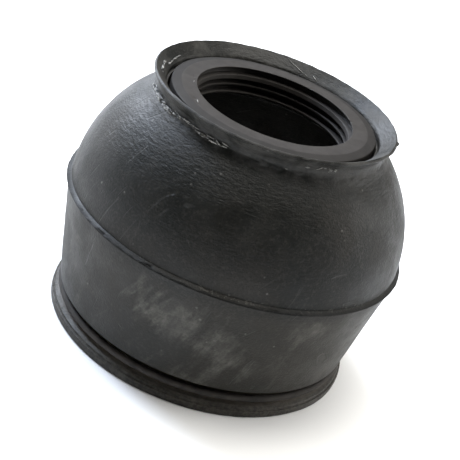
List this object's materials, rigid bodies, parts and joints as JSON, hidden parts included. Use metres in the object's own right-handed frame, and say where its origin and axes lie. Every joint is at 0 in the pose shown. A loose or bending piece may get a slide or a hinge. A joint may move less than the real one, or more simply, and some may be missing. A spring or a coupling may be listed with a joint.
{
  "type": "tie rod end dust boot",
  "caption": "Round rubber dust boot for a tie rod end: domed bellows with a flared lip, a ribbed stud bush in its neck, and a clip groove above a flanged base.",
  "frame": {"origin": "centre of the boot's underside, which is also taken as the ball's centre", "axes": "+Z along the boot's axis, from the base towards the stud end"},
  "size_m": [0.0444, 0.0444, 0.0338],
  "materials": {
    "boot_rubber": "satin moulded rubber",
    "bush_plastic": "smooth satin",
    "ring_steel": "pressed and plated",
    "wire_steel": "blackened spring wire"
  },
  "bodies": {
    "base": {"base_bead": "boot_rubber", "base_ring": "ring_steel", "retaining_ring": "wire_steel"},
    "lower_skirt": {"skirt_lower": "boot_rubber"},
    "upper_skirt": {"skirt_upper": "boot_rubber"},
    "lower_dome": {"dome_lower": "boot_rubber"},
    "upper_dome": {"dome_upper": "boot_rubber"},
    "neck": {"dome_shoulder": "boot_rubber", "neck_lip": "boot_rubber", "neck_ring": "ring_steel"},
    "bush": {"stud_bush": "bush_plastic"}
  },
  "joints": [
    {"name": "swing_fore_aft", "type": "hinge", "parent": "base", "child": "lower_skirt", "pos_m": [0, 0, 0], "axis": [1, 0, 0], "range_deg": [-10, 10], "stiffness_Nm_per_rad": 0.12, "deforming": ["skirt_lower"]},
    {"name": "swing_side", "type": "hinge", "parent": "lower_skirt", "child": "upper_skirt", "pos_m": [0, 0, 0], "axis": [0, 1, 0], "range_deg": [-10, 10], "stiffness_Nm_per_rad": 0.12, "deforming": ["skirt_upper"]},
    {"name": "press", "type": "slide", "parent": "upper_skirt", "child": "lower_dome", "axis": [0, 0, 1], "range_m": [-0.003, 0.001], "stiffness_N_per_m": 3000, "deforming": ["dome_lower"]},
    {"name": "swing_fore_aft_upper", "type": "hinge", "parent": "lower_dome", "child": "upper_dome", "pos_m": [0, 0, 0], "axis": [1, 0, 0], "range_deg": [-10, 10], "stiffness_Nm_per_rad": 0.12, "deforming": ["dome_upper"]},
    {"name": "swing_side_upper", "type": "hinge", "parent": "upper_dome", "child": "neck", "pos_m": [0, 0, 0], "axis": [0, 1, 0], "range_deg": [-10, 10], "stiffness_Nm_per_rad": 0.12, "deforming": ["dome_shoulder"]},
    {"name": "bush_turn", "type": "hinge", "parent": "neck", "child": "bush", "pos_m": [0, 0, 0.0308], "axis": [0, 0, 1], "continuous": true}
  ],
  "couplings": [
    {"joint": "swing_fore_aft_upper", "follows": "swing_fore_aft", "ratio": 1},
    {"joint": "swing_side_upper", "follows": "swing_side", "ratio": 1}
  ]
}
